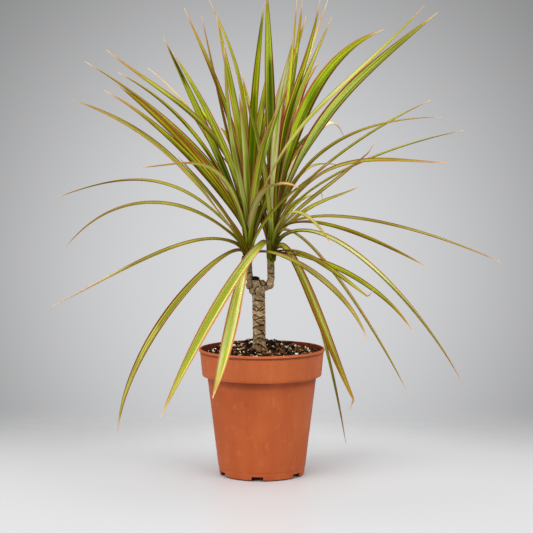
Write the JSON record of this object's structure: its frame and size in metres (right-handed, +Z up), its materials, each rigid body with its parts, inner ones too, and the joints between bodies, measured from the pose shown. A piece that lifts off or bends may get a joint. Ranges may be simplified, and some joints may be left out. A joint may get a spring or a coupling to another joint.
{
  "type": "potted dracaena marginata",
  "caption": "Potted dragon tree: a round nursery pot filled with soil, an upright cane that forks at a knob, and two heads of narrow arching leaves.",
  "frame": {"origin": "middle of the pot's foot, on the surface it stands on", "axes": "+Z up along the pot's axis, +X to the right and +Y away from the viewer in the picture"},
  "size_m": [0.4524, 0.3903, 0.463],
  "materials": {
    "pot": "terracotta-coloured moulded plastic, satin",
    "soil": "dark potting mix with bark chips and perlite",
    "bark": "grey-tan bark with leaf scars",
    "leaf": "satin green leaf with pale stripes and red margins"
  },
  "bodies": {
    "root": {"pot": "pot", "soil": "soil", "trunk": "bark", "left_head": "leaf", "right_head": "leaf"}
  },
  "joints": []
}
